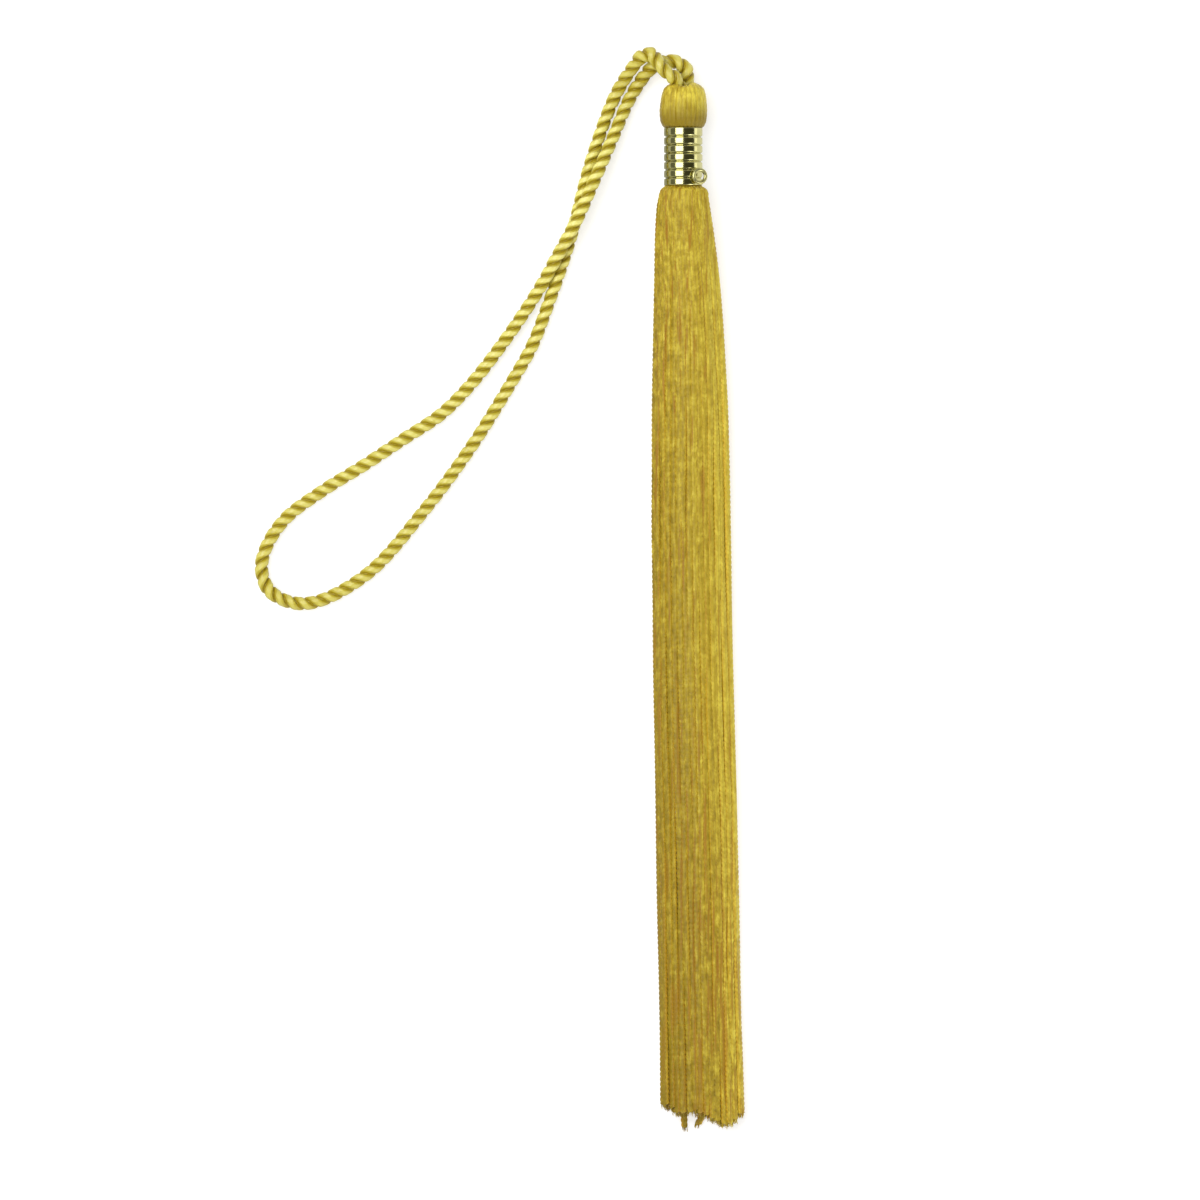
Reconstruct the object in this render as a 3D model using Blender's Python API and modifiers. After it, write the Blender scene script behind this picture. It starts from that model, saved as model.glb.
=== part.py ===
"""Silk tassel with a brass band and a twisted hanging cord, lying on its side.

Metres, +Z up. The tassel lies along Y with its head at +Y, and the cord's open loop lies at -X. The origin
is under the middle of the tassel without its cord, on the surface that it lies on.
"""

import itertools
import math
import random

import bmesh
import bpy
import numpy as np
from mathutils import Euler, Vector

MM = 0.001

# Head and neck, turned about an axis that runs along Y.
AXIS_X = -3.1 * MM
AXIS_Z = 5.0 * MM
NECK_RADIUS = 2.82 * MM
# (y, radius) up the hank, from the shoulder that carries the strands to the top of the head, mm.
HEAD_ROWS = [
    (91.0, 5.0),
    (91.45, 4.3),
    (91.5, NECK_RADIUS / MM),
    (105.1, NECK_RADIUS / MM),
    (105.15, 4.5),
    (106.2, 5.0),
    (108.2, 5.2),
    (110.2, 5.05),
    (112.0, 4.75),
    (113.3, 4.15),
    (114.3, 3.1),
    (114.8, 1.9),
]

# Skirt: strands in columns across the tassel and rows through its depth.
COLUMNS = 14
LAYERS = 4
# (y, left x, right x, depth, spread), mm. Spread runs from 0, round like the neck, to 1, lying flat.
SKIRT_ROWS = [
    (91.0, -8.1, 1.9, 10.0, 0.0),
    (86.5, -8.9, 2.6, 9.9, 0.3),
    (80.5, -9.1, 3.4, 9.2, 0.65),
    (72.0, -9.2, 4.6, 8.3, 0.9),
    (60.0, -9.4, 5.6, 7.5, 1.0),
    (42.0, -9.8, 6.6, 6.8, 1.0),
    (18.0, -9.9, 6.95, 6.3, 1.0),
    (-15.0, -9.6, 7.6, 6.0, 1.0),
    (-50.0, -8.85, 8.5, 5.8, 1.0),
    (-82.0, -8.3, 9.1, 5.7, 1.0),
    (-115.0, -7.7, 10.0, 5.5, 1.0),
]
# Where each column's top strand is cut, left to right, mm.
CUT_Y = [
    *(-109.1, -110.6, -111.0, -111.7, -111.5, -111.7, -112.8),
    *(-112.8, -112.8, -114.0, -114.1, -113.9, -112.8, -112.3),
]
# The two columns whose lowest strand is longer than the rest, and where it is cut, mm.
LONG_STRANDS = {3: -114.8, 6: -114.1}
# How much shorter each deeper layer may be cut.
CUT_SPREAD = 1.0 * MM
# Where the grid's corners meet the round neck.
CORNER_ANGLE = math.radians(25)
# The flat skirt's depth at its sides, as a share of the depth at its middle.
EDGE_DEPTH = 0.5
ROOT_GAP = 0.16 * MM
STRAND_GAP = 0.3 * MM
# How far a strand's side strays from its place, and how far odd and even layers are moved apart.
WANDER = 0.12 * MM
LAYER_STAGGER = 0.25 * MM

# Ribbed band round the neck.
BAND_BOTTOM = 91.8 * MM
BAND_TOP = 104.8 * MM
BAND_BORE = 3.15 * MM
BAND_RIBS = 7
# The top rib is taller: it has what the others leave.
RIB_HEIGHT = 1.8 * MM
BAND_SIDES = 24
# (share of a rib's height, radius), mm.
RIB_SECTION = [(0.0, 3.87), (0.2, 4.16), (0.5, 4.23), (0.8, 4.16)]

# Charm ring at the band's lower right edge, tilted down to the right.
RING_CENTRE = Vector((0.45, 93.9, 8.81)) * MM
RING_TILT = math.radians(25)
RING_RADIUS = 1.4 * MM
RING_WIRE = 0.42 * MM

# Twisted cord.
CORD_RADIUS = 1.4 * MM
CORD_GROOVE = 0.95 * MM
CORD_LAY = 5.65 * MM
STEPS_PER_TURN = 6
# (x, y, rise above lying on the surface), mm. It leaves the head, runs round the open loop and comes back.
CORD_ROUTE = [
    (-5.1, 115.4, 6.0),
    (-5.6, 115.8, 6.1),
    (-6.8, 116.7, 6.1),
    (-8.4, 118.5, 5.8),
    (-9.9, 120.4, 4.8),
    (-12.0, 120.3, 3.8),
    (-13.8, 118.4, 2.5),
    (-17.9, 112.0, 0.2),
    (-23.2, 97.7, 0.0),
    (-27.9, 80.2, 0.0),
    (-33.0, 65.2, 0.0),
    (-36.2, 57.0, 0.0),
    (-40.5, 49.4, 0.0),
    (-49.8, 34.5, 0.0),
    (-60.2, 20.5, 0.0),
    (-72.0, 7.3, 0.0),
    (-83.3, 1.0, 0.0),
    (-89.0, 0.8, 0.0),
    (-93.8, 3.4, 0.0),
    (-95.5, 8.0, 0.0),
    (-94.5, 12.8, 0.0),
    (-90.3, 19.1, 0.0),
    (-82.2, 25.2, 0.0),
    (-73.0, 30.9, 0.0),
    (-64.5, 36.5, 0.0),
    (-56.2, 42.0, 0.0),
    (-49.7, 48.5, 0.0),
    (-42.1, 58.3, 0.0),
    (-34.8, 69.2, 0.9),
    (-31.1, 75.8, 2.5),
    (-26.4, 84.5, 3.0),
    (-22.5, 93.3, 2.5),
    (-18.7, 102.1, 1.2),
    (-15.0, 110.8, 0.1),
    (-12.8, 114.5, 0.4),
    (-10.4, 117.5, 1.8),
    (-7.4, 119.1, 2.5),
    (-4.5, 119.0, 2.6),
    (-2.5, 117.3, 2.6),
    (-2.2, 115.2, 2.6),
]

for old in list(bpy.data.objects):
    bpy.data.objects.remove(old, do_unlink=True)

PARTS = bpy.data.collections.new("silk tassel")
GUIDES = bpy.data.collections.new("guides")
bpy.context.scene.collection.children.link(PARTS)
bpy.context.scene.collection.children.link(GUIDES)


def material(name, colour, roughness, metallic=0.0):
    """A plain Principled material."""
    made = bpy.data.materials.new(name)
    made.use_nodes = True
    shader = made.node_tree.nodes["Principled BSDF"]
    shader.inputs["Base Color"].default_value = (*colour, 1.0)
    shader.inputs["Roughness"].default_value = roughness
    shader.inputs["Metallic"].default_value = metallic
    return made


def add_part(name, data, surface):
    """Links a named object with its material into the tassel's collection."""
    part = bpy.data.objects.new(name, data)
    data.materials.append(surface)
    PARTS.objects.link(part)
    return part


def on_disc(u, v):
    """A point of the square grid moved into the unit disc, with the grid's edge on the rim."""
    across = math.cos(CORNER_ANGLE) ** 2
    x = u * math.sqrt(1 - (1 - across) * v * v)
    z = v * math.sqrt(1 - across * u * u)
    return x, z


def skirt_at(y):
    """The skirt's left and right edges, depth and spread at one height, in metres."""
    rows = np.array(SKIRT_ROWS)[::-1]
    values = [np.interp(y / MM, rows[:, 0], rows[:, column]) for column in range(1, 5)]
    return values[0] * MM, values[1] * MM, values[2] * MM, values[3]


def skirt_point(u, v, y, gap_u=0.0, gap_v=0.0):
    """Places a grid point at height y. gap_u and gap_v move it inwards, by metres, from its cell's border."""
    left, right, depth, spread = skirt_at(y)
    half = (right - left) / 2
    crown = 1 - (1 - EDGE_DEPTH) * u * u
    u = u + gap_u / half
    v = v + gap_v * 2 / (depth * crown)
    disc_x, disc_z = on_disc(max(-1.0, min(1.0, u)), max(-1.0, min(1.0, v)))
    round_z = depth / 2 * (1 + disc_z)
    flat_z = depth / 2 * (1 + v) * crown
    x = (left + right) / 2 + half * (disc_x * (1 - spread) + u * spread)
    return Vector((x, y, max(0.0, round_z * (1 - spread) + flat_z * spread)))


def build_hank():
    """One closed solid: head, neck and shoulder, with every strand's root in the shoulder's face.

    The mesh is first laid out on a square grid, as (u, v, level), and each point is then put in its place.
    """
    bm = bmesh.new()
    bmesh.ops.create_grid(bm, x_segments=COLUMNS, y_segments=LAYERS, size=1.0)
    roots = [(face, cell_of(face)) for face in bm.faces]
    rim = [edge for edge in bm.edges if edge.is_boundary]

    for level in range(1, len(HEAD_ROWS)):
        grown = bmesh.ops.extrude_edge_only(bm, edges=rim)["geom"]
        for item in grown:
            if isinstance(item, bmesh.types.BMVert):
                item.co.z = level
        rim = [item for item in grown if isinstance(item, bmesh.types.BMEdge) and item.is_boundary]
    bmesh.ops.contextual_create(bm, geom=rim)

    for vert in bm.verts:
        u, v, level = vert.co
        disc_x, disc_z = on_disc(u, v)
        row_y, radius = HEAD_ROWS[round(level)]
        height = AXIS_Z + radius * MM * disc_z
        vert.co = (AXIS_X + radius * MM * disc_x, row_y * MM, max(0.0, height))

    grow_strands(bm, roots)
    bmesh.ops.recalc_face_normals(bm, faces=bm.faces)
    mesh = bpy.data.meshes.new("yarn_hank")
    bm.to_mesh(mesh)
    bm.free()
    mesh.shade_smooth()
    mesh.set_sharp_from_angle(angle=math.radians(40))
    return add_part("yarn_hank", mesh, material("silk yarn", (0.55, 0.42, 0.05), 0.45))


def cell_of(face):
    """The column and layer of a face of the flat square grid."""
    centre = face.calc_center_median()
    return int((centre.x + 1) / 2 * COLUMNS), int((centre.y + 1) / 2 * LAYERS)


def grow_strands(bm, roots):
    """Insets each cell of the shoulder's face and draws it out, row by row, as one four-sided strand."""
    chance = random.Random(4)
    levels = len(SKIRT_ROWS)
    places = itertools.product(range(COLUMNS + 1), range(LAYERS), range(levels))
    sway = {place: chance.uniform(-WANDER, WANDER) for place in places}
    bmesh.ops.inset_individual(bm, faces=[face for face, cell in roots], thickness=ROOT_GAP / 2)
    for face, (column, layer) in roots:
        cut = CUT_Y[column] * MM + (LAYERS - 1 - layer) * chance.uniform(0, CUT_SPREAD)
        if layer == 0 and column in LONG_STRANDS:
            cut = LONG_STRANDS[column] * MM
        corners = [corner_of(vert.co, face.calc_center_median()) for vert in face.verts]
        for level in range(levels):
            if level:
                face = bmesh.ops.extrude_discrete_faces(bm, faces=[face])["faces"][0]
            y = cut if level == levels - 1 else SKIRT_ROWS[level][0] * MM
            gap = (ROOT_GAP if level == 0 else STRAND_GAP) / 2
            stagger = LAYER_STAGGER * min(1.0, level / 3)
            for vert, (right, top) in zip(face.verts, corners):
                border = column + right
                u = 2 * border / COLUMNS - 1
                v = 2 * (layer + top) / LAYERS - 1
                inward_u = -gap if right else gap
                inward_v = -gap if top else gap
                if level and border in (0, COLUMNS):
                    inward_u = 0.0
                elif level:
                    inward_u += sway[border, layer, level] + stagger * (-1) ** layer
                if level and layer + top in (0, LAYERS):
                    inward_v = 0.0
                vert.co = skirt_point(u, v, y, inward_u, inward_v)


def corner_of(point, centre):
    """Tells which corner of its cell a point is: (0 left or 1 right, 0 low or 1 high)."""
    return int(point.x > centre.x), int(point.z > centre.z)


def build_band():
    """A turned barrel: ribs down its outer side, a plain bore, spun about its own axis."""
    half = (BAND_TOP - BAND_BOTTOM) / 2
    heights = [2 * half - (BAND_RIBS - 1) * RIB_HEIGHT] + [RIB_HEIGHT] * (BAND_RIBS - 1)
    outer = []
    top = half
    for height in heights:
        outer += [(radius * MM, top - share * height) for share, radius in RIB_SECTION]
        top -= height
    outer.append((RIB_SECTION[0][1] * MM, -half))
    profile = outer + [(BAND_BORE, -half), (BAND_BORE, half)]
    mesh = bpy.data.meshes.new("brass_band")
    verts = [(radius, 0.0, height) for radius, height in profile]
    edges = [(index, (index + 1) % len(profile)) for index in range(len(profile))]
    mesh.from_pydata(verts, edges, [])
    band = add_part("brass_band", mesh, material("polished brass", (0.72, 0.56, 0.22), 0.2, 1.0))
    spin = band.modifiers.new("spin", "SCREW")
    spin.steps = BAND_SIDES
    spin.render_steps = BAND_SIDES
    spin.use_merge_vertices = True
    spin.merge_threshold = 0.00001
    band.location = (AXIS_X, (BAND_TOP + BAND_BOTTOM) / 2, AXIS_Z)
    band.rotation_euler = Euler((-math.pi / 2, 0, 0))
    return band


def build_ring():
    """A closed ring of round wire."""
    bpy.ops.mesh.primitive_torus_add(
        major_radius=RING_RADIUS, minor_radius=RING_WIRE, major_segments=20, minor_segments=8
    )
    ring = bpy.context.object
    ring.name = "charm_ring"
    for collection in list(ring.users_collection):
        collection.objects.unlink(ring)
    PARTS.objects.link(ring)
    ring.data.materials.append(material("brass wire", (0.74, 0.6, 0.28), 0.25, 1.0))
    ring.data.shade_smooth()
    ring.location = RING_CENTRE
    ring.rotation_euler = Euler((0, RING_TILT, 0))
    return ring


def smooth_route(points):
    """A centripetal Catmull-Rom curve through the points, finely sampled."""
    ends = [2 * points[0] - points[1], 2 * points[-1] - points[-2]]
    knots = [ends[0], *points, ends[1]]
    samples = []
    for p0, p1, p2, p3 in zip(knots, knots[1:], knots[2:], knots[3:]):
        t1 = np.linalg.norm(p1 - p0) ** 0.5
        t2 = t1 + np.linalg.norm(p2 - p1) ** 0.5
        t3 = t2 + np.linalg.norm(p3 - p2) ** 0.5
        for t in np.linspace(t1, t2, 24, endpoint=False):
            a1 = p0 * (t1 - t) / t1 + p1 * t / t1
            a2 = p1 * (t2 - t) / (t2 - t1) + p2 * (t - t1) / (t2 - t1)
            a3 = p2 * (t3 - t) / (t3 - t2) + p3 * (t - t2) / (t3 - t2)
            b1 = a1 * (t2 - t) / t2 + a2 * t / t2
            b2 = a2 * (t3 - t) / (t3 - t1) + a3 * (t - t1) / (t3 - t1)
            samples.append(b1 * (t2 - t) / (t2 - t1) + b2 * (t - t1) / (t2 - t1))
    samples.append(points[-1])
    return np.array(samples)


def even_steps(samples, step):
    """Resamples a route at even steps and gives the distance along it at each."""
    run = np.concatenate([[0.0], np.cumsum(np.linalg.norm(np.diff(samples, axis=0), axis=1))])
    count = round(run[-1] / step)
    along = np.linspace(0.0, run[-1], count + 1)
    route = np.stack([np.interp(along, run, samples[:, axis]) for axis in range(3)], axis=1)
    return route, along


def two_ply_section():
    """The guide for the cord's section: two plies side by side, with a groove on each side."""
    section = bpy.data.curves.new("two_ply_section", "CURVE")
    section.dimensions = "2D"
    spline = section.splines.new("POLY")
    spline.points.add(7)
    for index, point in enumerate(spline.points):
        angle = -index * math.pi / 4
        radius = CORD_GROOVE if index in (2, 6) else CORD_RADIUS
        point.co = (radius * math.cos(angle), radius * math.sin(angle), 0.0, 1.0)
    spline.use_cyclic_u = True
    guide = bpy.data.objects.new("two_ply_section", section)
    guide.hide_render = True
    guide.display_type = "WIRE"
    GUIDES.objects.link(guide)
    return guide


def build_cord():
    """The twisted cord as one tube whose two-ply section turns once in each lay."""
    points = [np.array((x, y, rise + CORD_RADIUS / MM)) * MM for x, y, rise in CORD_ROUTE]
    route, along = even_steps(smooth_route(points), CORD_LAY / STEPS_PER_TURN)
    route[:, 2] = np.maximum(route[:, 2], CORD_RADIUS)
    curve = bpy.data.curves.new("cord_loop", "CURVE")
    curve.dimensions = "3D"
    curve.bevel_mode = "OBJECT"
    curve.bevel_object = two_ply_section()
    curve.use_fill_caps = True
    spline = curve.splines.new("POLY")
    spline.points.add(len(route) - 1)
    for point, place, distance in zip(spline.points, route, along):
        point.co = (*place, 1.0)
        point.tilt = 2 * math.pi * distance / CORD_LAY
    return add_part("cord_loop", curve, material("twisted silk", (0.68, 0.56, 0.08), 0.4))


build_hank()
build_band()
build_ring()
build_cord()
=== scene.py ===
"""The looks of a silk tassel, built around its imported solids. Metres, +Z up, head towards +Y."""

import math
import random

import bpy
import numpy as np
from mathutils import Euler, Matrix, Vector, noise


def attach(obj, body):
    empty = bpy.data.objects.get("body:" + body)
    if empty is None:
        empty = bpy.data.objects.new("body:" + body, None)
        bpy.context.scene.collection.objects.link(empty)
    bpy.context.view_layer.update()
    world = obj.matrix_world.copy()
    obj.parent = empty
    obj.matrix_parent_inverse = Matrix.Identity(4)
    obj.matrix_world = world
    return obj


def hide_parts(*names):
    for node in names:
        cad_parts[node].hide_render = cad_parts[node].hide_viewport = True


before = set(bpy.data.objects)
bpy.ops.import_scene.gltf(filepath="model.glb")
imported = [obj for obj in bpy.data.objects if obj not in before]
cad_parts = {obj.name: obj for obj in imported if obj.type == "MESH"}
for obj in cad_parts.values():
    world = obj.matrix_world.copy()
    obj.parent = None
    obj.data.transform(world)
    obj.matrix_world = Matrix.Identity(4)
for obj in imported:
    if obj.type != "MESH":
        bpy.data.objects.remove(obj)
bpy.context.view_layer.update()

MM = 0.001


# Camera: straight above the tassel, with its head at the top of the view. The long lens keeps the view almost
# parallel, and the square that it sees is given at the height of the cord.
VIEW_SIDE = 262.8 * MM
VIEW_CENTRE = Vector((-21.33, 1.31, 3.0)) * MM


def added(name, data):
    """Puts a new object into the scene."""
    made = bpy.data.objects.new(name, data)
    bpy.context.scene.collection.objects.link(made)
    return made


lens = bpy.data.cameras.new("camera")
lens.lens = 300.0
lens.sensor_width = 36.0
camera = added("camera", lens)
camera.location = VIEW_CENTRE + Vector((0.0, 0.0, VIEW_SIDE * lens.lens / lens.sensor_width))
bpy.context.scene.camera = camera
bpy.context.scene.view_settings.view_transform = "Standard"


# Cord loop: one length of two-ply silk cord, laid up with a right-hand twist. It is doubled into a loop, and
# both of its ends go down into the top of the head, where the hank is folded over them.
CORD_RADIUS = 1.4 * MM
CORD_LAY = 5.65 * MM
CORD_STEPS_PER_TURN = 24
PLY_THREADS = 11
PLY_ARC = math.radians(133)
PLY_HALF_WIDTH = 1.1 * MM
PLY_CENTRE = 0.64 * MM
PLY_INSIDE = 0.12 * MM
THREAD_RELIEF = 0.035 * MM
# How many samples its route has between two of its points.
ROUTE_SAMPLES = 24
# How much wider the slack plies spread on a bend, for each radius of cord to a radius of bend.
CORD_SPREAD = 0.42
CORD_HIGHLIGHT = (1.0, 0.95, 0.29, 1.0)
CORD_MID = (0.52, 0.425, 0.032, 1.0)
CORD_GROOVE_SHADE = (0.37, 0.27, 0.006, 1.0)
# How often the noise on it comes back in a metre: across and along the threads, and for the patches of its
# painted highlight.
THREAD_GRAIN = (9000.0, 500.0, 1.0)
PATCH_GRAIN = (0.0, 400.0, 1.0)
THREAD_TONE = 0.5
THREAD_BUMP = {"Strength": 0.35, "Distance": 0.08 * MM}
# A ply gets a painted highlight along its middle, from one of these distances to the other, where a patch
# lets it be.
HIGHLIGHT_EDGE = 0.9 * PLY_HALF_WIDTH
HIGHLIGHT_MIDDLE = 0.3 * PLY_HALF_WIDTH
HIGHLIGHT_GAIN = 5.0
HIGHLIGHT_LOSS = 1.1
# Painted shade darkens the groove between the plies: shares of the radius where it ends and where the ply's
# silk begins.
GROOVE_SHADE_REACH = (0.77, 0.93)
# Handling has dulled the silk at both bends, and shade is painted there too, fading the painted highlight to
# the mid tone: where along Y it starts and is complete, and how much it is.
WEAR_AND_SHADE_BENDS = [(85 * MM, 0 * MM), (104 * MM, 114 * MM)]
CORD_WEAR_AND_SHADE = 0.55
# (x, y, rise above lying on the surface), mm, from the head round the open loop and back.
CORD_ROUTE = [
    (-5.1, 115.4, 6.0),
    (-5.6, 115.8, 6.1),
    (-6.8, 116.7, 6.1),
    (-8.4, 118.5, 5.8),
    (-9.9, 120.4, 4.8),
    (-12.0, 120.3, 3.8),
    (-13.8, 118.4, 2.5),
    (-17.9, 112.0, 0.2),
    (-23.2, 97.7, 0.0),
    (-27.9, 80.2, 0.0),
    (-33.0, 65.2, 0.0),
    (-36.2, 57.0, 0.0),
    (-40.5, 49.4, 0.0),
    (-49.8, 34.5, 0.0),
    (-60.2, 20.5, 0.0),
    (-72.0, 7.3, 0.0),
    (-83.3, 1.0, 0.0),
    (-89.0, 0.8, 0.0),
    (-93.8, 3.4, 0.0),
    (-95.5, 8.0, 0.0),
    (-94.5, 12.8, 0.0),
    (-90.3, 19.1, 0.0),
    (-82.2, 25.2, 0.0),
    (-73.0, 30.9, 0.0),
    (-64.5, 36.5, 0.0),
    (-56.2, 42.0, 0.0),
    (-49.7, 48.5, 0.0),
    (-42.1, 58.3, 0.0),
    (-34.8, 69.2, 0.9),
    (-31.1, 75.8, 2.5),
    (-26.4, 84.5, 3.0),
    (-22.5, 93.3, 2.5),
    (-18.7, 102.1, 1.2),
    (-15.0, 110.8, 0.1),
    (-12.8, 114.5, 0.4),
    (-10.4, 117.5, 1.8),
    (-7.4, 119.1, 2.5),
    (-4.5, 119.0, 2.6),
    (-2.5, 117.3, 2.6),
    (-2.2, 115.2, 2.6),
]
# Where the two ends stop inside the head, in the same columns.
CORD_ENDS = [(-3.5, 113.2, 4.9), (-2.3, 112.8, 2.5)]


def smooth_route(points):
    """A centripetal Catmull-Rom curve through the points, finely sampled."""
    ends = [2 * points[0] - points[1], 2 * points[-1] - points[-2]]
    knots = [ends[0], *points, ends[1]]
    samples = []
    for p0, p1, p2, p3 in zip(knots, knots[1:], knots[2:], knots[3:]):
        t1 = np.linalg.norm(p1 - p0) ** 0.5
        t2 = t1 + np.linalg.norm(p2 - p1) ** 0.5
        t3 = t2 + np.linalg.norm(p3 - p2) ** 0.5
        for t in np.linspace(t1, t2, ROUTE_SAMPLES, endpoint=False):
            a1 = p0 * (t1 - t) / t1 + p1 * t / t1
            a2 = p1 * (t2 - t) / (t2 - t1) + p2 * (t - t1) / (t2 - t1)
            a3 = p2 * (t3 - t) / (t3 - t2) + p3 * (t - t2) / (t3 - t2)
            b1 = a1 * (t2 - t) / t2 + a2 * t / t2
            b2 = a2 * (t3 - t) / (t3 - t1) + a3 * (t - t1) / (t3 - t1)
            samples.append(b1 * (t2 - t) / (t2 - t1) + b2 * (t - t1) / (t2 - t1))
    samples.append(points[-1])
    return np.array(samples)


def even_steps(samples, step):
    """Resamples a route at even steps and gives its length."""
    run = np.concatenate([[0.0], np.cumsum(np.linalg.norm(np.diff(samples, axis=0), axis=1))])
    along = np.linspace(0.0, run[-1], round(run[-1] / step) + 1)
    return np.stack([np.interp(along, run, samples[:, axis]) for axis in range(3)], axis=1), run[-1]


def spread_on_bends(path):
    """How much wider than straight cord the cord is at each point of its path."""
    headings = np.diff(path, axis=0)
    steps = np.linalg.norm(headings, axis=1)
    headings /= steps[:, None]
    turning = np.linalg.norm(np.diff(headings, axis=0), axis=1) / steps[1:]
    window = np.hanning(CORD_STEPS_PER_TURN // 2)
    bend = np.convolve(np.pad(turning, 1, mode="edge"), window / window.sum(), mode="same")
    return 1 + CORD_SPREAD * CORD_RADIUS * bend


def ply_outline():
    """Two plies side by side, each with a run of fine threads round its outer side."""
    points = []
    for side in (1, -1):
        for step in range(2 * PLY_THREADS + 1):
            turn = PLY_ARC * (step / PLY_THREADS - 1)
            lift = THREAD_RELIEF * (step % 2 - 1)
            x = PLY_CENTRE + (CORD_RADIUS - PLY_CENTRE + lift) * math.cos(turn)
            y = (PLY_HALF_WIDTH + lift) * math.sin(turn)
            points.append((side * max(x, PLY_INSIDE), side * y))
    return points


def wired(tree, kind, sources, **settings):
    """Adds a node. sources gives its inputs, by name or number, each a socket to follow or a plain value."""
    made = tree.nodes.new(kind)
    for name, value in settings.items():
        setattr(made, name, value)
    for key, source in sources.items():
        if isinstance(source, bpy.types.NodeSocket):
            tree.links.new(source, made.inputs[key])
        else:
            made.inputs[key].default_value = source
    return made


def maths(tree, operation, *values, clamp=False):
    """One step of arithmetic on sockets and numbers."""
    step = wired(tree, "ShaderNodeMath", dict(enumerate(values)), operation=operation, use_clamp=clamp)
    return step.outputs[0]


def ramp(tree, value, start, end, top=1.0):
    """A share that runs from 0, where the value is at start, to top, where it is at end."""
    sources = {"Value": value, "From Min": start, "From Max": end, "To Max": top}
    return wired(tree, "ShaderNodeMapRange", sources).outputs[0]


def new_tree(name, inputs):
    """A geometry tree with named inputs, given as {name: kind of value}. Also gives its input node."""
    tree = bpy.data.node_groups.new(name, "GeometryNodeTree")
    tree.interface.new_socket("Geometry", in_out="INPUT", socket_type="NodeSocketGeometry")
    tree.interface.new_socket("Geometry", in_out="OUTPUT", socket_type="NodeSocketGeometry")
    for label, kind in inputs.items():
        tree.interface.new_socket(label, in_out="INPUT", socket_type="NodeSocket" + kind)
    return tree, tree.nodes.new("NodeGroupInput").outputs


def keep(tree, geometry, label, value, data_type="FLOAT"):
    """Stores a value on every point under a name, so that it is still there after the sweep."""
    sources = {"Geometry": geometry, "Name": label, "Value": value}
    kept = wired(tree, "GeometryNodeStoreNamedAttribute", sources, data_type=data_type, domain="POINT")
    return kept.outputs[0]


def recall(tree, label, data_type="FLOAT"):
    """The value stored on each point under a name."""
    return wired(tree, "GeometryNodeInputNamedAttribute", {"Name": label}, data_type=data_type).outputs[0]


def finish_tree(tree, geometry, material):
    """Ends a tree in plain geometry with its material."""
    real = wired(tree, "GeometryNodeRealizeInstances", {"Geometry": geometry})
    dressed = wired(tree, "GeometryNodeSetMaterial", {"Geometry": real.outputs[0], "Material": material})
    wired(tree, "NodeGroupOutput", {"Geometry": dressed.outputs[0]})


def grown(name, line_mesh, tree, **values):
    """Runs a tree on a mesh of lines and gives the result as a plain mesh object at the origin."""
    source = added(name, line_mesh)
    modifier = source.modifiers.new(tree.name, "NODES")
    modifier.node_group = tree
    for item in tree.interface.items_tree:
        if item.in_out == "INPUT" and item.name in values:
            modifier[item.identifier] = values[item.name]
    depsgraph = bpy.context.evaluated_depsgraph_get()
    mesh = bpy.data.meshes.new_from_object(source.evaluated_get(depsgraph), depsgraph=depsgraph)
    bpy.data.objects.remove(source)
    mesh.name = name
    mesh.shade_smooth()
    return added(name, mesh)


def outline(name, points):
    """A closed flat outline that a tree sweeps along its lines."""
    curve = bpy.data.curves.new(name, "CURVE")
    curve.dimensions = "2D"
    spline = curve.splines.new("POLY")
    spline.points.add(len(points) - 1)
    for point, place in zip(spline.points, points):
        point.co = (*place, 0.0, 1.0)
    spline.use_cyclic_u = True
    return added(name, curve)


def lines(name, strands, **values):
    """A mesh of open lines, one for each strand's points, whose points carry named values."""
    mesh = bpy.data.meshes.new(name)
    edges = []
    points = []
    for strand in strands:
        first = len(points)
        edges += [(first + index, first + index + 1) for index in range(len(strand) - 1)]
        points += [tuple(point) for point in strand]
    mesh.from_pydata(points, edges, [])
    for label, column in values.items():
        column = np.array(column, dtype=np.float32)
        kind, slot = ("FLOAT", "value") if column.ndim == 1 else ("FLOAT_VECTOR", "vector")
        mesh.attributes.new(label, kind, "POINT").data.foreach_set(slot, column.ravel())
    return mesh


def new_material(name, **inputs):
    """A material whose shader has these plain values. Also gives its tree and shader."""
    made = bpy.data.materials.new(name)
    made.use_nodes = True
    shader = made.node_tree.nodes["Principled BSDF"]
    for label, value in inputs.items():
        shader.inputs[label.replace("_", " ")].default_value = value
    return made, made.node_tree, shader


def named(tree, label):
    """The plain number that a mesh carries under a name, as a socket of a material."""
    return wired(tree, "ShaderNodeAttribute", {}, attribute_name=label).outputs["Fac"]


def mixed(tree, share, first, second):
    """A mix of two colours."""
    return wired(tree, "ShaderNodeMix", {0: share, 6: first, 7: second}, data_type="RGBA").outputs[2]


def mottle(tree, place, scale, detail=2.0):
    """Noise on a place that is stretched by scale along each axis."""
    stretched = wired(tree, "ShaderNodeMapping", {"Vector": place, "Scale": scale}).outputs[0]
    return wired(tree, "ShaderNodeTexNoise", {"Vector": stretched, "Scale": 1.0, "Detail": detail}).outputs[0]


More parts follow.
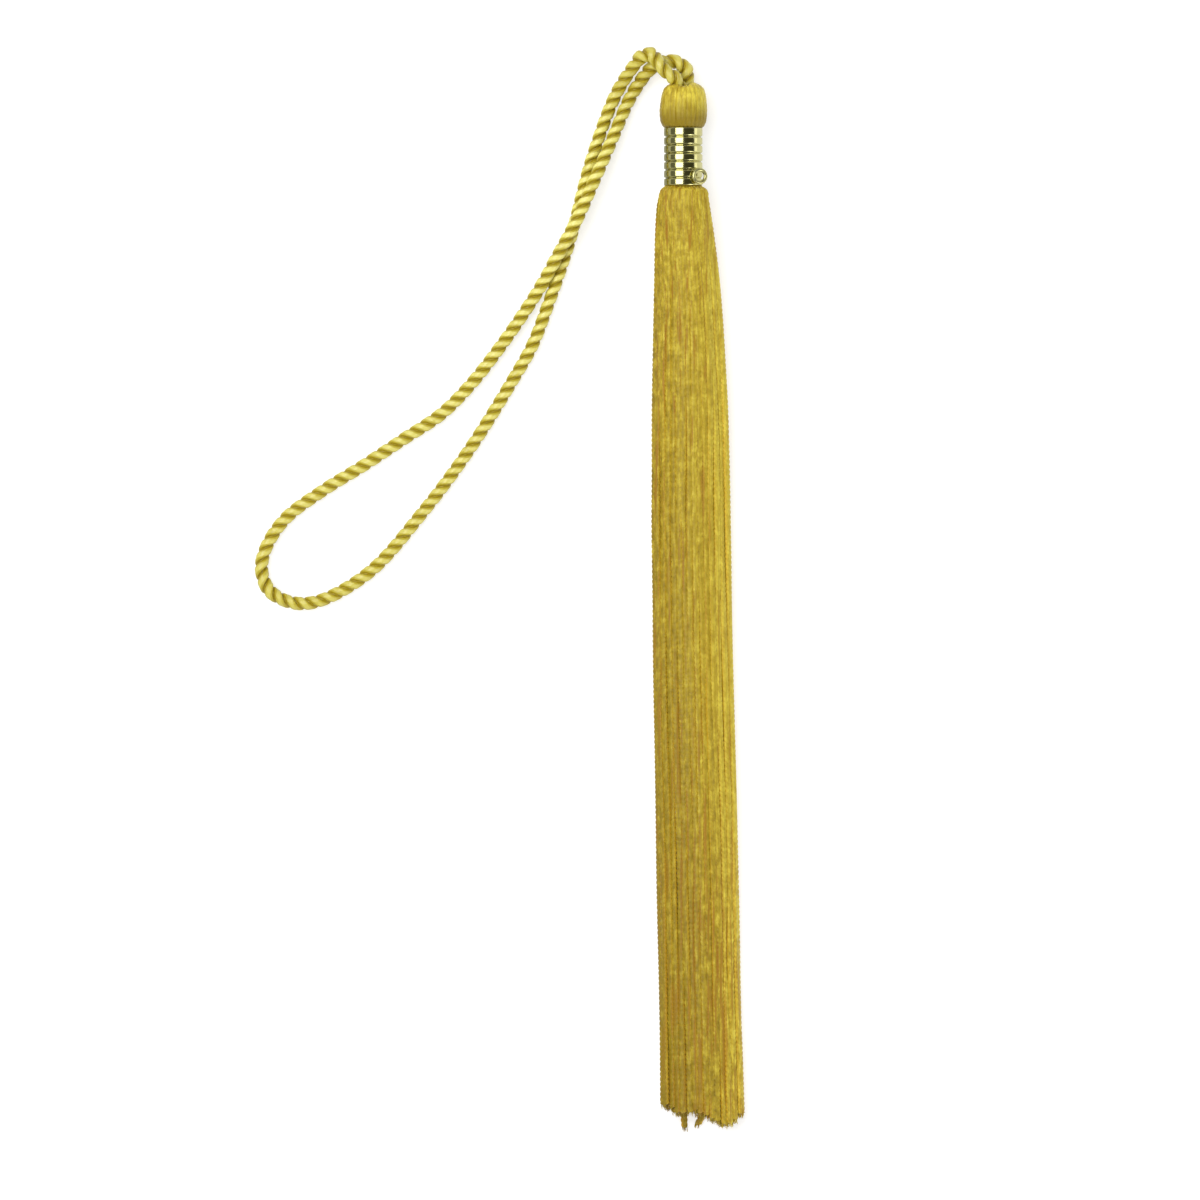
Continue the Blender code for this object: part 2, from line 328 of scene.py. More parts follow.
twisted_silk, tree, shader = new_material(
    "twisted_silk", Roughness=0.3, Specular_IOR_Level=0.5, Sheen_Weight=0.05, Sheen_Roughness=0.4
)
place = wired(tree, "ShaderNodeCombineXYZ", {0: named(tree, "around"), 1: named(tree, "along")}).outputs[0]
threads = mottle(tree, place, THREAD_GRAIN, detail=3.0)
patches = mottle(tree, place, PATCH_GRAIN, detail=3.0)
reach = maths(tree, "DIVIDE", named(tree, "height"), CORD_RADIUS)
# Painted highlight: the middle of each ply is made paler in the colour, in patches.
lively = maths(tree, "MULTIPLY_ADD", patches, HIGHLIGHT_GAIN, -HIGHLIGHT_LOSS)
crest = ramp(tree, named(tree, "aside"), HIGHLIGHT_EDGE, HIGHLIGHT_MIDDLE)
crest = maths(tree, "MULTIPLY", crest, lively, clamp=True)
tone = mixed(tree, crest, CORD_MID, CORD_HIGHLIGHT)
tone = mixed(tree, maths(tree, "MULTIPLY", threads, THREAD_TONE), tone, CORD_MID)
spot = wired(tree, "ShaderNodeTexCoord", {}).outputs["Object"]
up = wired(tree, "ShaderNodeSeparateXYZ", {0: spot}).outputs["Y"]
# Painted shade, with some wear, at both bends of the cord.
wear_and_shade = 0.0
for start, end in WEAR_AND_SHADE_BENDS:
    wear_and_shade = maths(tree, "ADD", ramp(tree, up, start, end, CORD_WEAR_AND_SHADE), wear_and_shade)
tone = mixed(tree, wear_and_shade, tone, CORD_MID)
# Painted shade in the groove between the plies.
tone = mixed(tree, ramp(tree, reach, *GROOVE_SHADE_REACH), CORD_GROOVE_SHADE, tone)
tree.links.new(tone, shader.inputs["Base Color"])
bump = wired(tree, "ShaderNodeBump", {"Height": threads, **THREAD_BUMP})
tree.links.new(bump.outputs[0], shader.inputs["Normal"])

tree, given = new_tree("laid cord", {"Section": "Object", "Lay": "Float", "Material": "Material"})
line = wired(tree, "GeometryNodeMeshToCurve", {"Mesh": given["Geometry"]}).outputs[0]
distance = wired(tree, "GeometryNodeSplineParameter", {}).outputs["Length"]
turn = maths(tree, "MULTIPLY", maths(tree, "DIVIDE", distance, given["Lay"]), math.tau)
line = wired(tree, "GeometryNodeSetCurveTilt", {"Curve": line, "Tilt": turn}).outputs[0]
line = keep(tree, line, "along", distance)
section = wired(tree, "GeometryNodeObjectInfo", {"Object": given["Section"]}).outputs["Geometry"]
spot = wired(tree, "GeometryNodeInputPosition", {}).outputs[0]
height = wired(tree, "ShaderNodeVectorMath", {0: spot}, operation="LENGTH").outputs["Value"]
section = keep(tree, keep(tree, section, "height", height), "around", distance)
aside = maths(tree, "ABSOLUTE", wired(tree, "ShaderNodeSeparateXYZ", {0: spot}).outputs["Y"])
section = keep(tree, section, "aside", aside)
sources = {"Curve": line, "Profile Curve": section, "Scale": recall(tree, "width"), "Fill Caps": True}
finish_tree(tree, wired(tree, "GeometryNodeCurveToMesh", sources).outputs[0], given["Material"])

cord_rows = [CORD_ENDS[0], *CORD_ROUTE, CORD_ENDS[1]]
cord_points = [np.array((x, y, rise + CORD_RADIUS / MM)) * MM for x, y, rise in cord_rows]
cord_path, cord_length = even_steps(smooth_route(cord_points), CORD_LAY / CORD_STEPS_PER_TURN)
cord_spread = spread_on_bends(cord_path)
cord_path[:, 2] = np.maximum(cord_path[:, 2], CORD_RADIUS * cord_spread)
cord_guide = outline("ply_outline", ply_outline())
cord_values = {"Section": cord_guide, "Lay": CORD_LAY, "Material": twisted_silk}
cord_line = lines("cord_line", [cord_path], width=cord_spread)
cord = grown("cord_loop_silk", cord_line, tree, **cord_values)
bpy.data.objects.remove(cord_guide)
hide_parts("cord_loop")
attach(cord, "root")


# Skirt: a hank of knitted chain yarns of silk. They come out of the band packed tight, spread over its lip
# and lie side by side down to their cut ends.
COLUMNS = 14
LAYERS = 5
CHAIN_HALF_WIDTH = 0.85 * MM
CHAIN_HALF_DEPTH = 0.58 * MM
STITCH = 1.1 * MM
ROWS_PER_STITCH = 3.0
STITCH_RELIEF = 0.12
# A chain swells by this share of its relief along a stitch, and narrows by its whole relief in the gap.
STITCH_SWELL = 0.5
# How far a stitch's edges lie from its middle along the yarn, as a share of its length.
STITCH_SLANT = -0.5
NECK_CENTRE = Vector((-3.1, 0.0, 5.0)) * MM
# (y, left x, right x, depth, spread), mm. Spread runs from 0, round like the neck, to 1, lying flat.
SKIRT_ROWS = [
    (93.8, -5.6, -0.6, 5.0, 0.0),
    (92.4, -5.9, -0.3, 5.6, 0.0),
    (91.6, -7.1, 0.9, 8.0, 0.0),
    (90.7, -8.0, 2.0, 9.9, 0.0),
    (88.9, -8.4, 2.2, 10.0, 0.15),
    (86.5, -8.7, 2.5, 9.9, 0.3),
    (80.5, -8.8, 3.2, 9.2, 0.65),
    (72.0, -8.9, 4.3, 8.3, 0.9),
    (60.0, -9.1, 5.3, 7.5, 1.0),
    (42.0, -9.5, 6.35, 6.8, 1.0),
    (18.0, -9.6, 6.7, 6.3, 1.0),
    (-15.0, -9.25, 7.4, 6.0, 1.0),
    (-50.0, -8.5, 8.3, 5.8, 1.0),
    (-82.0, -8.0, 8.9, 5.7, 1.0),
    (-115.0, -7.6, 9.95, 5.5, 1.0),
]
# How far apart a loose strand's points are, below the rows that shape the shoulder.
STRAND_STEP = 9.0 * MM
SHOULDER_ROWS = 8
# Where each column's top strand is cut, left to right, mm.
CUT_Y = [
    *(-109.5, -110.0, -111.0, -111.1, -110.8, -110.5, -111.1),
    *(-111.5, -112.2, -112.8, -113.6, -113.4, -112.6, -111.4),
]
# How much shorter each lower layer may be.
UNEVEN_CUT = 0.35 * MM
# The two columns whose lowest strand is longer than the rest: where it is cut, and how far it strays sideways
# past the others' ends, mm. It is combed thinner there.
LONG_STRANDS = {3: (-114.5, 0.1), 6: (-113.8, -0.9)}
LONG_BEND_Y = -110.8 * MM
LONG_TIP_FULLNESS = 0.85
LONG_SHADE = 1.5
# In the round neck, a strand from a corner of the hank lies on the rim, this far above or below its side. In
# the flat skirt, the hank is this share as deep at its sides as in its middle.
CORNER_ANGLE = math.radians(25)
EDGE_DEPTH = 0.5
# How far odd and even layers are moved apart, as a share of a column.
LAYER_STAGGER = 0.25
# One chain's outline, as shares of its half depth and half width: a groove down the middle of each face, a
# lobe on each side of it, and two edges.
CHAIN_OUTLINE = [
    *((0.8, 0.0), (1.0, 0.55), (0.0, 1.0), (-1.0, 0.55)),
    *((-0.8, 0.0), (-1.0, -0.55), (0.0, -1.0), (1.0, -0.55)),
]
# How far a loose strand strays sideways and up or down, how much it rolls, and how far apart its bends are.
# The kinds keep the three unlike.
SWAY = 0.18 * MM
SWAY_WAVE = 42 * MM
SWAY_KIND = 0.0
LIFT = 0.2 * MM
LIFT_WAVE = 30 * MM
LIFT_KIND = 9.0
ROLL = 0.5
ROLL_WAVE = 50 * MM
ROLL_KIND = 4.0
# The strands at the two sides are rolled outwards by this much.
ROLL_AT_SIDES = 0.9
# These keep the noise of different columns and layers unlike.
COLUMN_SEED = 31.7
LAYER_SEED = 7.3
# The band holds the strands still and thin. Below it they come loose, and reach their full width.
LOOSE_FROM = 92 * MM
LOOSE_RUN = 25 * MM
PRESSED_WIDTH = 0.5
FILLING_FROM = 92.4 * MM
FILLING_RUN = 24 * MM
YARN_LIGHT = (0.80, 0.66, 0.07, 1.0)
YARN_MID = (0.51, 0.365, 0.02, 1.0)
YARN_DARK = (0.275, 0.186, 0.005, 1.0)
YARN_BROWN = (0.38, 0.18, 0.008, 1.0)
# The warm tint of painted bounce light at a chain's edges.
YARN_EDGE_BOUNCE = (0.62, 0.38, 0.015, 1.0)
# The stretches over which the silk's colour changes: left to right, tips to shoulder, and towards the tips.
# The head starts higher, and has painted shade at its foot.
ACROSS_HANK = (-9 * MM, 9 * MM)
UP_HANK = (-115 * MM, 90 * MM)
TO_TIPS = (-20 * MM, -75 * MM)
HEAD_FROM = 100 * MM
HEAD_FOOT = (111.2 * MM, 106.6 * MM)
# How often the noise comes back in a metre, or in a row of stitches for the patches on one strand.
STRAND_GRAIN = (1.0, 0.13, 1.0)
FLECK_GRAIN = (1400.0, 400.0, 1400.0)
STREAK_GRAIN = (1200.0, 55.0, 1200.0)
FIBRE_GRAIN = (5200.0, 1500.0, 5200.0)
FIBRE_BUMP = {"Strength": 0.5, "Distance": 0.1 * MM}
# These spread the strands' shades out, so that no two strands have the same patches or stitches.
PATCH_SEED = 679.0
STITCH_SEED = 97.0
# How much a strand's patches, its stitches and the flecks lighten it, and what they come to on average.
PATCH_TONE = 1.2
STITCH_TONE = 0.6
FLECK_TONE = 3.8
EVEN_TONE = 2.86
# How strong these three are at the left, and how that changes to the right and towards the tips.
UNEVEN_LEFT = 1.05
UNEVEN_RIGHT = -0.65
UNEVEN_TIPS = 0.45
# How much lighter the silk is throughout, from strand to strand, to the right, at the top, at the tips away
# from the left edge, and at the right of the head. Both lightenings to the right are painted light.
BASE_TONE = -0.58
STRAND_TONE = 0.3
RIGHT_PAINTED_LIGHT = 1.05
TOP_TONE = 0.38
TIP_TONE = -0.22
HEAD_RIGHT_PAINTED_LIGHT = 0.4
# The brown streaks: the noise between which they set in, and how brown they are at the left, to the right and
# towards the tips.
STREAK_RANGE = (0.56, 0.66)
STREAK_TIPS = 0.05
BROWN_LEFT = 1.15
BROWN_RIGHT = -0.8
BROWN_TIPS = 0.4
# How much of another colour is mixed in: painted shade at the lower left, at the head's foot, in the gaps
# between stitches and in a chain's middle seam, and painted warm bounce light at its edges, where the head
# has less of it.
LOW_LEFT_SHADE = 0.7
FOOT_SHADE = 0.95
GAP_SHADE = 0.2
SEAM_SHADE = 0.3
EDGE_BOUNCE = 0.75
HEAD_EDGE_BOUNCE = -0.6
# From left to right across the hank, where the tips' left edge ends and where they are darkest.
INNER_RANGE = (1 / 22, 0.5)
# Shares of a chain's half width, where its middle seam ends and where its edges begin.
SEAM_RANGE = (0.3, 0.05)
EDGE_RANGE = (0.6, 1.0)


def on_disc(u, v):
    """A point of the square grid moved into the unit disc, with the grid's edge on the rim."""
    across = math.cos(CORNER_ANGLE) ** 2
    return u * math.sqrt(1 - (1 - across) * v * v), v * math.sqrt(1 - across * u * u)


def skirt_point(u, v, y):
    """Where a strand at place (u, v) of the bundle, each from -1 to 1, passes height y."""
    rows = np.array(SKIRT_ROWS)[::-1] * (MM, MM, MM, MM, 1.0)
    left, right, depth, spread = [np.interp(y, rows[:, 0], rows[:, column]) for column in range(1, 5)]
    disc_x, disc_z = on_disc(u, v)
    round_z = NECK_CENTRE.z + depth / 2 * disc_z
    flat_z = depth / 2 * (1 + v) * (1 - (1 - EDGE_DEPTH) * u * u)
    x = (left + right) / 2 + (right - left) / 2 * (disc_x * (1 - spread) + u * spread)
    return Vector((x, y, round_z * (1 - spread) + flat_z * spread))


def above_floor(spot, roll, fullness):
    """Lifts a place on a chain's centre line until the chain, turned by roll, clears the floor."""
    drops = [depth * CHAIN_HALF_DEPTH * math.cos(roll) + width * CHAIN_HALF_WIDTH * math.sin(roll)
             for depth, width in CHAIN_OUTLINE]
    spot.z = max(spot.z, max(drops) * fullness * (1 + STITCH_RELIEF))


def wander(seed, y, wave, kind):
    """Smooth noise along a strand, from -1 to 1, whose bends are about a wave apart."""
    return noise.noise(Vector((seed, y / wave, kind)))


def strand(column, layer, chance):
    """One strand's points, from inside the band to its cut end, as (place, way it faces, fullness)."""
    stagger = LAYER_STAGGER * (-1) ** layer
    u = (2 * (column + stagger) + 1) / COLUMNS - 1
    v = (2 * layer + 1) / LAYERS - 1
    seed = COLUMN_SEED * column + LAYER_SEED * layer
    cut = CUT_Y[column] * MM + (LAYERS - 1 - layer) * chance.uniform(0, UNEVEN_CUT)
    heights = [row[0] * MM for row in SKIRT_ROWS[:SHOULDER_ROWS]]
    heights[0] -= chance.uniform(0, STITCH)
    bend = []
    drift = 0.0
    if layer == 0 and column in LONG_STRANDS:
        cut, drift = [value * MM for value in LONG_STRANDS[column]]
        bend = [LONG_BEND_Y]
    last = bend[0] if bend else cut
    loose = np.arange(heights[-1] - STRAND_STEP, last + STRAND_STEP / 2, -STRAND_STEP)
    points = []
    for y in [*heights, *loose, *bend, cut]:
        free = min(1.0, max(0.0, (LOOSE_FROM - y) / LOOSE_RUN))
        width = min(1.0, PRESSED_WIDTH + max(0.0, (FILLING_FROM - y) / FILLING_RUN))
        spot = skirt_point(u, v, y)
        if bend and y == cut:
            width = LONG_TIP_FULLNESS
            spot.x += drift
        spot.x += 2 * SWAY * free * wander(seed, y, SWAY_WAVE, SWAY_KIND)
        spot.z += 2 * LIFT * free * wander(seed, y, LIFT_WAVE, LIFT_KIND)
        side = 1 if v >= 0 else -1
        roll = ROLL_AT_SIDES * u + ROLL * wander(seed, y, ROLL_WAVE, ROLL_KIND)
        above_floor(spot, roll, width)
        points.append((spot, Vector((math.sin(roll), 0.0, side * math.cos(roll))), width))
    return points


def strand_lines(name, strands, shades):
    """The centre lines of several strands as one mesh, ready for the tree."""
    spots = [[spot for spot, facing, width in points] for points in strands]
    facings = [facing for points in strands for spot, facing, width in points]
    widths = [width for points in strands for spot, facing, width in points]
    tones = [shade for points, shade in zip(strands, shades) for point in points]
    return lines(name, spots, outward=facings, width=widths, shade=tones)


def summed(tree, total, *terms):
    """Adds each term's value, times its strength, to a total."""
    for value, strength in terms:
        total = maths(tree, "MULTIPLY_ADD", value, strength, total)
    return total


def in_gap(tree, row):
    """1 on the row of points in each gap between two stitches, and 0 elsewhere."""
    return maths(tree, "LESS_THAN", maths(tree, "MODULO", row, ROWS_PER_STITCH), 0.5)


chain_yarn, tree, shader = new_material(
    "chain_yarn", Roughness=0.5, Specular_IOR_Level=0.3, Sheen_Weight=0.2, Sheen_Roughness=0.3
)
place = wired(tree, "ShaderNodeTexCoord", {}).outputs["Object"]
spot = wired(tree, "ShaderNodeSeparateXYZ", {0: place})
rightness = ramp(tree, spot.outputs[0], *ACROSS_HANK)
topness = ramp(tree, spot.outputs[1], *UP_HANK)
tipward = ramp(tree, spot.outputs[1], *TO_TIPS)
in_head = maths(tree, "GREATER_THAN", spot.outputs[1], HEAD_FROM)
shade = named(tree, "shade")
row = named(tree, "row")
across = named(tree, "across")
# Each strand has longer patches, each stitch its own tone, and flecks run over them all. They are strongest
# on the left and near the tips.
sources = {0: maths(tree, "MULTIPLY", shade, PATCH_SEED), 1: row}
key = wired(tree, "ShaderNodeCombineXYZ", sources).outputs[0]
patches = mottle(tree, key, STRAND_GRAIN, detail=3.0)
stitch = maths(tree, "FLOOR", maths(tree, "DIVIDE", row, ROWS_PER_STITCH))
sources = {0: maths(tree, "MULTIPLY", shade, STITCH_SEED), 1: stitch}
key = wired(tree, "ShaderNodeCombineXYZ", sources).outputs[0]
stitches = wired(tree, "ShaderNodeTexWhiteNoise", {"Vector": key}, noise_dimensions="3D").outputs["Value"]
flecks = mottle(tree, place, FLECK_GRAIN, detail=3.0)
uneven = summed(tree, -EVEN_TONE, (patches, PATCH_TONE), (stitches, STITCH_TONE), (flecks, FLECK_TONE))
strength = summed(tree, UNEVEN_LEFT, (rightness, UNEVEN_RIGHT), (tipward, UNEVEN_TIPS))
light = maths(tree, "MULTIPLY_ADD", uneven, strength, BASE_TONE)
# The hank is palest at its upper right, with painted light on its right and on the head's right, and its tips
# are darker.
light = summed(tree, light, (shade, STRAND_TONE), (maths(tree, "POWER", rightness, 2.0), RIGHT_PAINTED_LIGHT))
inner_tip = maths(tree, "MULTIPLY", tipward, ramp(tree, rightness, *INNER_RANGE))
light = summed(tree, light, (topness, TOP_TONE), (inner_tip, TIP_TONE))
light = summed(tree, light, (maths(tree, "MULTIPLY", in_head, rightness), HEAD_RIGHT_PAINTED_LIGHT))
above = maths(tree, "MAXIMUM", light, 0.0, clamp=True)
below = maths(tree, "MULTIPLY", light, -1.0, clamp=True)
tone = mixed(tree, below, mixed(tree, above, YARN_MID, YARN_LIGHT), YARN_DARK)
# Brown streaks, laid in noise along the strands.
streaks = summed(tree, mottle(tree, place, STREAK_GRAIN, detail=4.0), (tipward, STREAK_TIPS))
browning = summed(tree, BROWN_LEFT, (rightness, BROWN_RIGHT), (tipward, BROWN_TIPS))
browned = maths(tree, "MULTIPLY", ramp(tree, streaks, *STREAK_RANGE), browning, clamp=True)
tone = mixed(tree, maths(tree, "SUBTRACT", browned, in_head, clamp=True), tone, YARN_BROWN)
# Painted shade at the lower left of the hank.
lowness = maths(tree, "SUBTRACT", 1.0, topness)
low_left_shade = maths(tree, "MULTIPLY", lowness, maths(tree, "SUBTRACT", 1.0, rightness))
tone = mixed(tree, maths(tree, "MULTIPLY", low_left_shade, LOW_LEFT_SHADE), tone, YARN_DARK)
# Painted shade darkens the head where it is drawn in under the band.
foot = maths(tree, "MULTIPLY", ramp(tree, spot.outputs[1], *HEAD_FOOT, FOOT_SHADE), in_head)
tone = mixed(tree, foot, tone, YARN_DARK)
# Below the head, painted shade darkens the gaps between stitches and the seam between a chain's two sides.
# Painted warm bounce light tints the edges of a chain.
gap = maths(tree, "SUBTRACT", in_gap(tree, row), in_head, clamp=True)
tone = mixed(tree, maths(tree, "MULTIPLY", gap, GAP_SHADE), tone, YARN_BROWN)
seam = maths(tree, "SUBTRACT", ramp(tree, across, *SEAM_RANGE), in_head, clamp=True)
tone = mixed(tree, maths(tree, "MULTIPLY", seam, SEAM_SHADE), tone, YARN_DARK)
# Painted bounce light: a chain's edges, where it meets its neighbours, are tinted warmer.
edge = maths(tree, "MULTIPLY_ADD", in_head, HEAD_EDGE_BOUNCE, EDGE_BOUNCE)
edge = maths(tree, "MULTIPLY", edge, ramp(tree, across, *EDGE_RANGE))
tone = mixed(tree, edge, tone, YARN_EDGE_BOUNCE)
tree.links.new(tone, shader.inputs["Base Color"])
fine_fibres = mottle(tree, place, FIBRE_GRAIN)
bump = wired(tree, "ShaderNodeBump", {"Height": fine_fibres, **FIBRE_BUMP})
tree.links.new(bump.outputs[0], shader.inputs["Normal"])

chain_inputs = {"Half width": "Float", "Stitch": "Float", "Relief": "Float"}
tree, given = new_tree("chain yarn", {"Section": "Object", **chain_inputs, "Material": "Material"})
line = wired(tree, "GeometryNodeMeshToCurve", {"Mesh": given["Geometry"]}).outputs[0]
line = wired(tree, "GeometryNodeCurveSplineType", {"Curve": line}, spline_type="CATMULL_ROM").outputs[0]
step = maths(tree, "DIVIDE", given["Stitch"], ROWS_PER_STITCH)
line = wired(tree, "GeometryNodeResampleCurve", {"Curve": line, "Length": step}, mode="LENGTH").outputs[0]
facing = {"Curve": line, "Normal": recall(tree, "outward", "FLOAT_VECTOR")}
line = wired(tree, "GeometryNodeSetCurveNormal", facing, mode="FREE").outputs[0]
spot = wired(tree, "GeometryNodeInputPosition", {}).outputs[0]
line = keep(tree, line, "row", wired(tree, "GeometryNodeSplineParameter", {}).outputs["Index"])
line = keep(tree, line, "core", spot, "FLOAT_VECTOR")
line = keep(tree, line, "heading", wired(tree, "GeometryNodeInputTangent", {}).outputs[0], "FLOAT_VECTOR")
section = wired(tree, "GeometryNodeObjectInfo", {"Object": given["Section"]}).outputs["Geometry"]
aside = maths(tree, "ABSOLUTE", wired(tree, "ShaderNodeSeparateXYZ", {0: spot}).outputs["Y"])
section = keep(tree, section, "across", maths(tree, "DIVIDE", aside, given["Half width"]))
sources = {"Curve": line, "Profile Curve": section, "Scale": recall(tree, "width"), "Fill Caps": True}
swept = wired(tree, "GeometryNodeCurveToMesh", sources).outputs[0]
gap = in_gap(tree, recall(tree, "row"))
wave = maths(tree, "MULTIPLY_ADD", gap, -1.0 - STITCH_SWELL, STITCH_SWELL)
growth = maths(tree, "MULTIPLY_ADD", wave, given["Relief"], 1.0)
core = recall(tree, "core", "FLOAT_VECTOR")
off_core = wired(tree, "ShaderNodeVectorMath", {0: spot, 1: core}, operation="SUBTRACT").outputs[0]
swollen = wired(tree, "ShaderNodeVectorMath", {0: off_core, "Scale": growth}, operation="SCALE").outputs[0]
placed = wired(tree, "ShaderNodeVectorMath", {0: core, 1: swollen}, operation="ADD").outputs[0]
edge = maths(tree, "MULTIPLY", recall(tree, "across"), given["Stitch"])
slant = maths(tree, "MULTIPLY", edge, STITCH_SLANT)
heading = recall(tree, "heading", "FLOAT_VECTOR")
slide = wired(tree, "ShaderNodeVectorMath", {0: heading, "Scale": slant}, operation="SCALE").outputs[0]
sources = {"Geometry": swept, "Position": placed, "Offset": slide}
finish_tree(tree, wired(tree, "GeometryNodeSetPosition", sources).outputs[0], given["Material"])
chain_tree = tree

chain_points = [(depth * CHAIN_HALF_DEPTH, width * CHAIN_HALF_WIDTH) for depth, width in CHAIN_OUTLINE]
chain_guide = outline("chain_outline", chain_points)
chain_values = {"Section": chain_guide, "Half width": CHAIN_HALF_WIDTH, "Stitch": STITCH}
chain_values["Material"] = chain_yarn
skirt_chance = random.Random(11)
cut_ends = []
for layer in range(LAYERS):
    strands = [strand(column, layer, skirt_chance) for column in range(COLUMNS)]
    shades = [skirt_chance.random() for column in range(COLUMNS)]
    if layer == 0:
        shades = [shade - LONG_SHADE * (column in LONG_STRANDS) for column, shade in enumerate(shades)]
    for points, shade in zip(strands, shades):
        cut_ends.append((points[-1][0], (points[-1][0] - points[-2][0]).normalized(), shade))
    name = f"skirt_yarns_{layer + 1}"
    skirt = grown(name, strand_lines(name, strands, shades), chain_tree, Relief=STITCH_RELIEF, **chain_values)
    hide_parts("yarn_hank")
    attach(skirt, "root")


# Head: the same hank, folded over the ends of the cord. Its yarns run up all round, turn in at the top and go
# down beside the cord, and below they are drawn in under the band.
HEAD_STRANDS = 28
HEAD_RELIEF = 0.05
# How far each yarn strays from its even place, as a share of the spacing, and how much neighbours overlap.
HEAD_SCATTER = 0.12
HEAD_OVERLAP = 1.4
MOUTH_OVERLAP = 1.1
# A yarn that slants down under the head takes more room above the floor than one that lies along it.
HEAD_CLEARANCE = 1.16
# (y, radius) of the head's outer side, from inside the band to the top, mm.
HEAD_ROWS = [
    (103.6, 2.9),
    (104.7, 3.05),
    (105.15, 4.4),
    (106.2, 5.0),
    (108.2, 5.2),
    (110.2, 5.05),
    (112.0, 4.75),
    (113.3, 4.15),
    (114.3, 3.1),
    (114.8, 1.9),
]
# (below the crest, outside the mouth), mm, where a yarn turns in at the top and goes down beside the cord.
# Then how far the crest is outside the mouth, and how far below the crest the outer side ends.
LIP_ROWS = [(0.3, 0.75), (0.9, 0.25), (2.4, 0.0)]
LIP_WIDTH = 1.15 * MM
LIP_DEPTH = 0.5 * MM
# Half of the width and depth of the mouth that the cord's two ends fill.
MOUTH_HALF_WIDTH = 1.55 * MM
MOUTH_HALF_DEPTH = 2.7 * MM
MOUTH_CENTRE = Vector((-2.95, 0.0, 5.1)) * MM
# The head leans over from the neck's middle to the mouth's.
LEAN_FROM = 108 * MM
LEAN_RUN = 6 * MM
# The head's yarns are paler than the skirt's.
HEAD_SHADES = (1.1, 1.7)


def head_strand(angle):
    """One yarn of the head in the plane at an angle round it, as (place, way it faces, fullness)."""
    rows = np.array(HEAD_ROWS) * MM
    crowding = math.tau / HEAD_STRANDS / (2 * CHAIN_HALF_WIDTH)
    mouth = 1 / math.hypot(math.sin(angle) / MOUTH_HALF_WIDTH, math.cos(angle) / MOUTH_HALF_DEPTH)
    crest_radius = mouth + LIP_WIDTH
    upper = rows[rows[:, 1].argmax():][::-1]
    crest_y = np.interp(crest_radius, upper[:, 1], upper[:, 0])
    profile = [(y, radius) for y, radius in rows if y < crest_y - LIP_DEPTH]
    fullness = [min(1.0, crowding * radius * HEAD_OVERLAP) for y, radius in profile]
    places = [(y, radius - CHAIN_HALF_DEPTH * full) for (y, radius), full in zip(profile, fullness)]
    slim = min(1.0, crowding * mouth * MOUTH_OVERLAP)
    places += [(crest_y - drop * MM, mouth + outside * MM) for drop, outside in LIP_ROWS]
    fullness += [(fullness[-1] + slim) / 2, slim, slim]
    points = []
    for index, ((y, radius), full) in enumerate(zip(places, fullness)):
        before = places[max(0, index - 1)]
        after = places[min(len(places) - 1, index + 1)]
        rise = Vector((after[0] - before[0], after[1] - before[1])).normalized()
        centre = NECK_CENTRE.lerp(MOUTH_CENTRE, min(1.0, max(0.0, (y - LEAN_FROM) / LEAN_RUN)))
        around = Vector((math.sin(angle), 0.0, math.cos(angle)))
        spot = centre + around * radius
        spot.y = y
        above_floor(spot, 0.0, full * HEAD_CLEARANCE)
        points.append((spot, around * rise[0] + Vector((0.0, -rise[1], 0.0)), full))
    return points


head_chance = random.Random(5)
head_steps = [index + head_chance.uniform(-HEAD_SCATTER, HEAD_SCATTER) for index in range(HEAD_STRANDS)]
head_angles = [math.tau * step / HEAD_STRANDS for step in head_steps]
head_strands = [head_strand(angle) for angle in head_angles]
head_shades = [head_chance.uniform(*HEAD_SHADES) for angle in head_angles]
head_lines = strand_lines("head_yarns", head_strands, head_shades)
head = grown("head_yarns", head_lines, chain_tree, Relief=HEAD_RELIEF, **chain_values)
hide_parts("yarn_hank")
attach(head, "root")
bpy.data.objects.remove(chain_guide)


# Head core: the yarns in the middle of the fold, of the same silk. They fill the head and pass down through
# the band, which presses them together into pleats.
# (y, radius) of it, from below the band to the bottom of the mouth, mm.
CORE_ROWS = [
    (90.6, 0.4),
    (91.2, 4.0),
    (91.7, 2.75),
    (104.9, 2.75),
    (105.5, 3.9),
    (106.6, 4.3),
    (109.5, 4.3),
    (111.6, 3.6),
    (112.4, 2.6),
    (112.3, 1.4),
    (111.9, 0.4),
]
CORE_SIDES = 48
CORE_PLEAT = 0.12 * MM

core_points = []
for y, radius in CORE_ROWS:
    for side in range(CORE_SIDES):
        turn = math.tau * side / CORE_SIDES
        reach = radius * MM + CORE_PLEAT * (-1) ** side
        core_points.append(NECK_CENTRE + Vector((reach * math.sin(turn), y * MM, reach * math.cos(turn))))
core_faces = []
for row in range(len(CORE_ROWS) - 1):
    for side in range(CORE_SIDES):
        first = row * CORE_SIDES + side
        second = row * CORE_SIDES + (side + 1) % CORE_SIDES
        core_faces.append((first, second, second + CORE_SIDES, first + CORE_SIDES))
core_faces.append(tuple(reversed(range(CORE_SIDES))))
core_faces.append(tuple(range(len(core_points) - CORE_SIDES, len(core_points))))
core_mesh = bpy.data.meshes.new("head_core")
core_mesh.from_pydata(core_points, [], core_faces)
core_mesh.materials.append(chain_yarn)
core_mesh.shade_smooth()
head_core = added("head_core", core_mesh)
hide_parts("yarn_hank")
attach(head_core, "root")


# Frayed ends: fine fibres of silk. The yarns were cut off and left raw, so that the end of each one opens
# into its fibres, which stand a little apart.
FIBRES_PER_END = 16
FIBRE_RADIUS = 0.1 * MM
FIBRE_LENGTH = (0.2 * MM, 1.0 * MM)
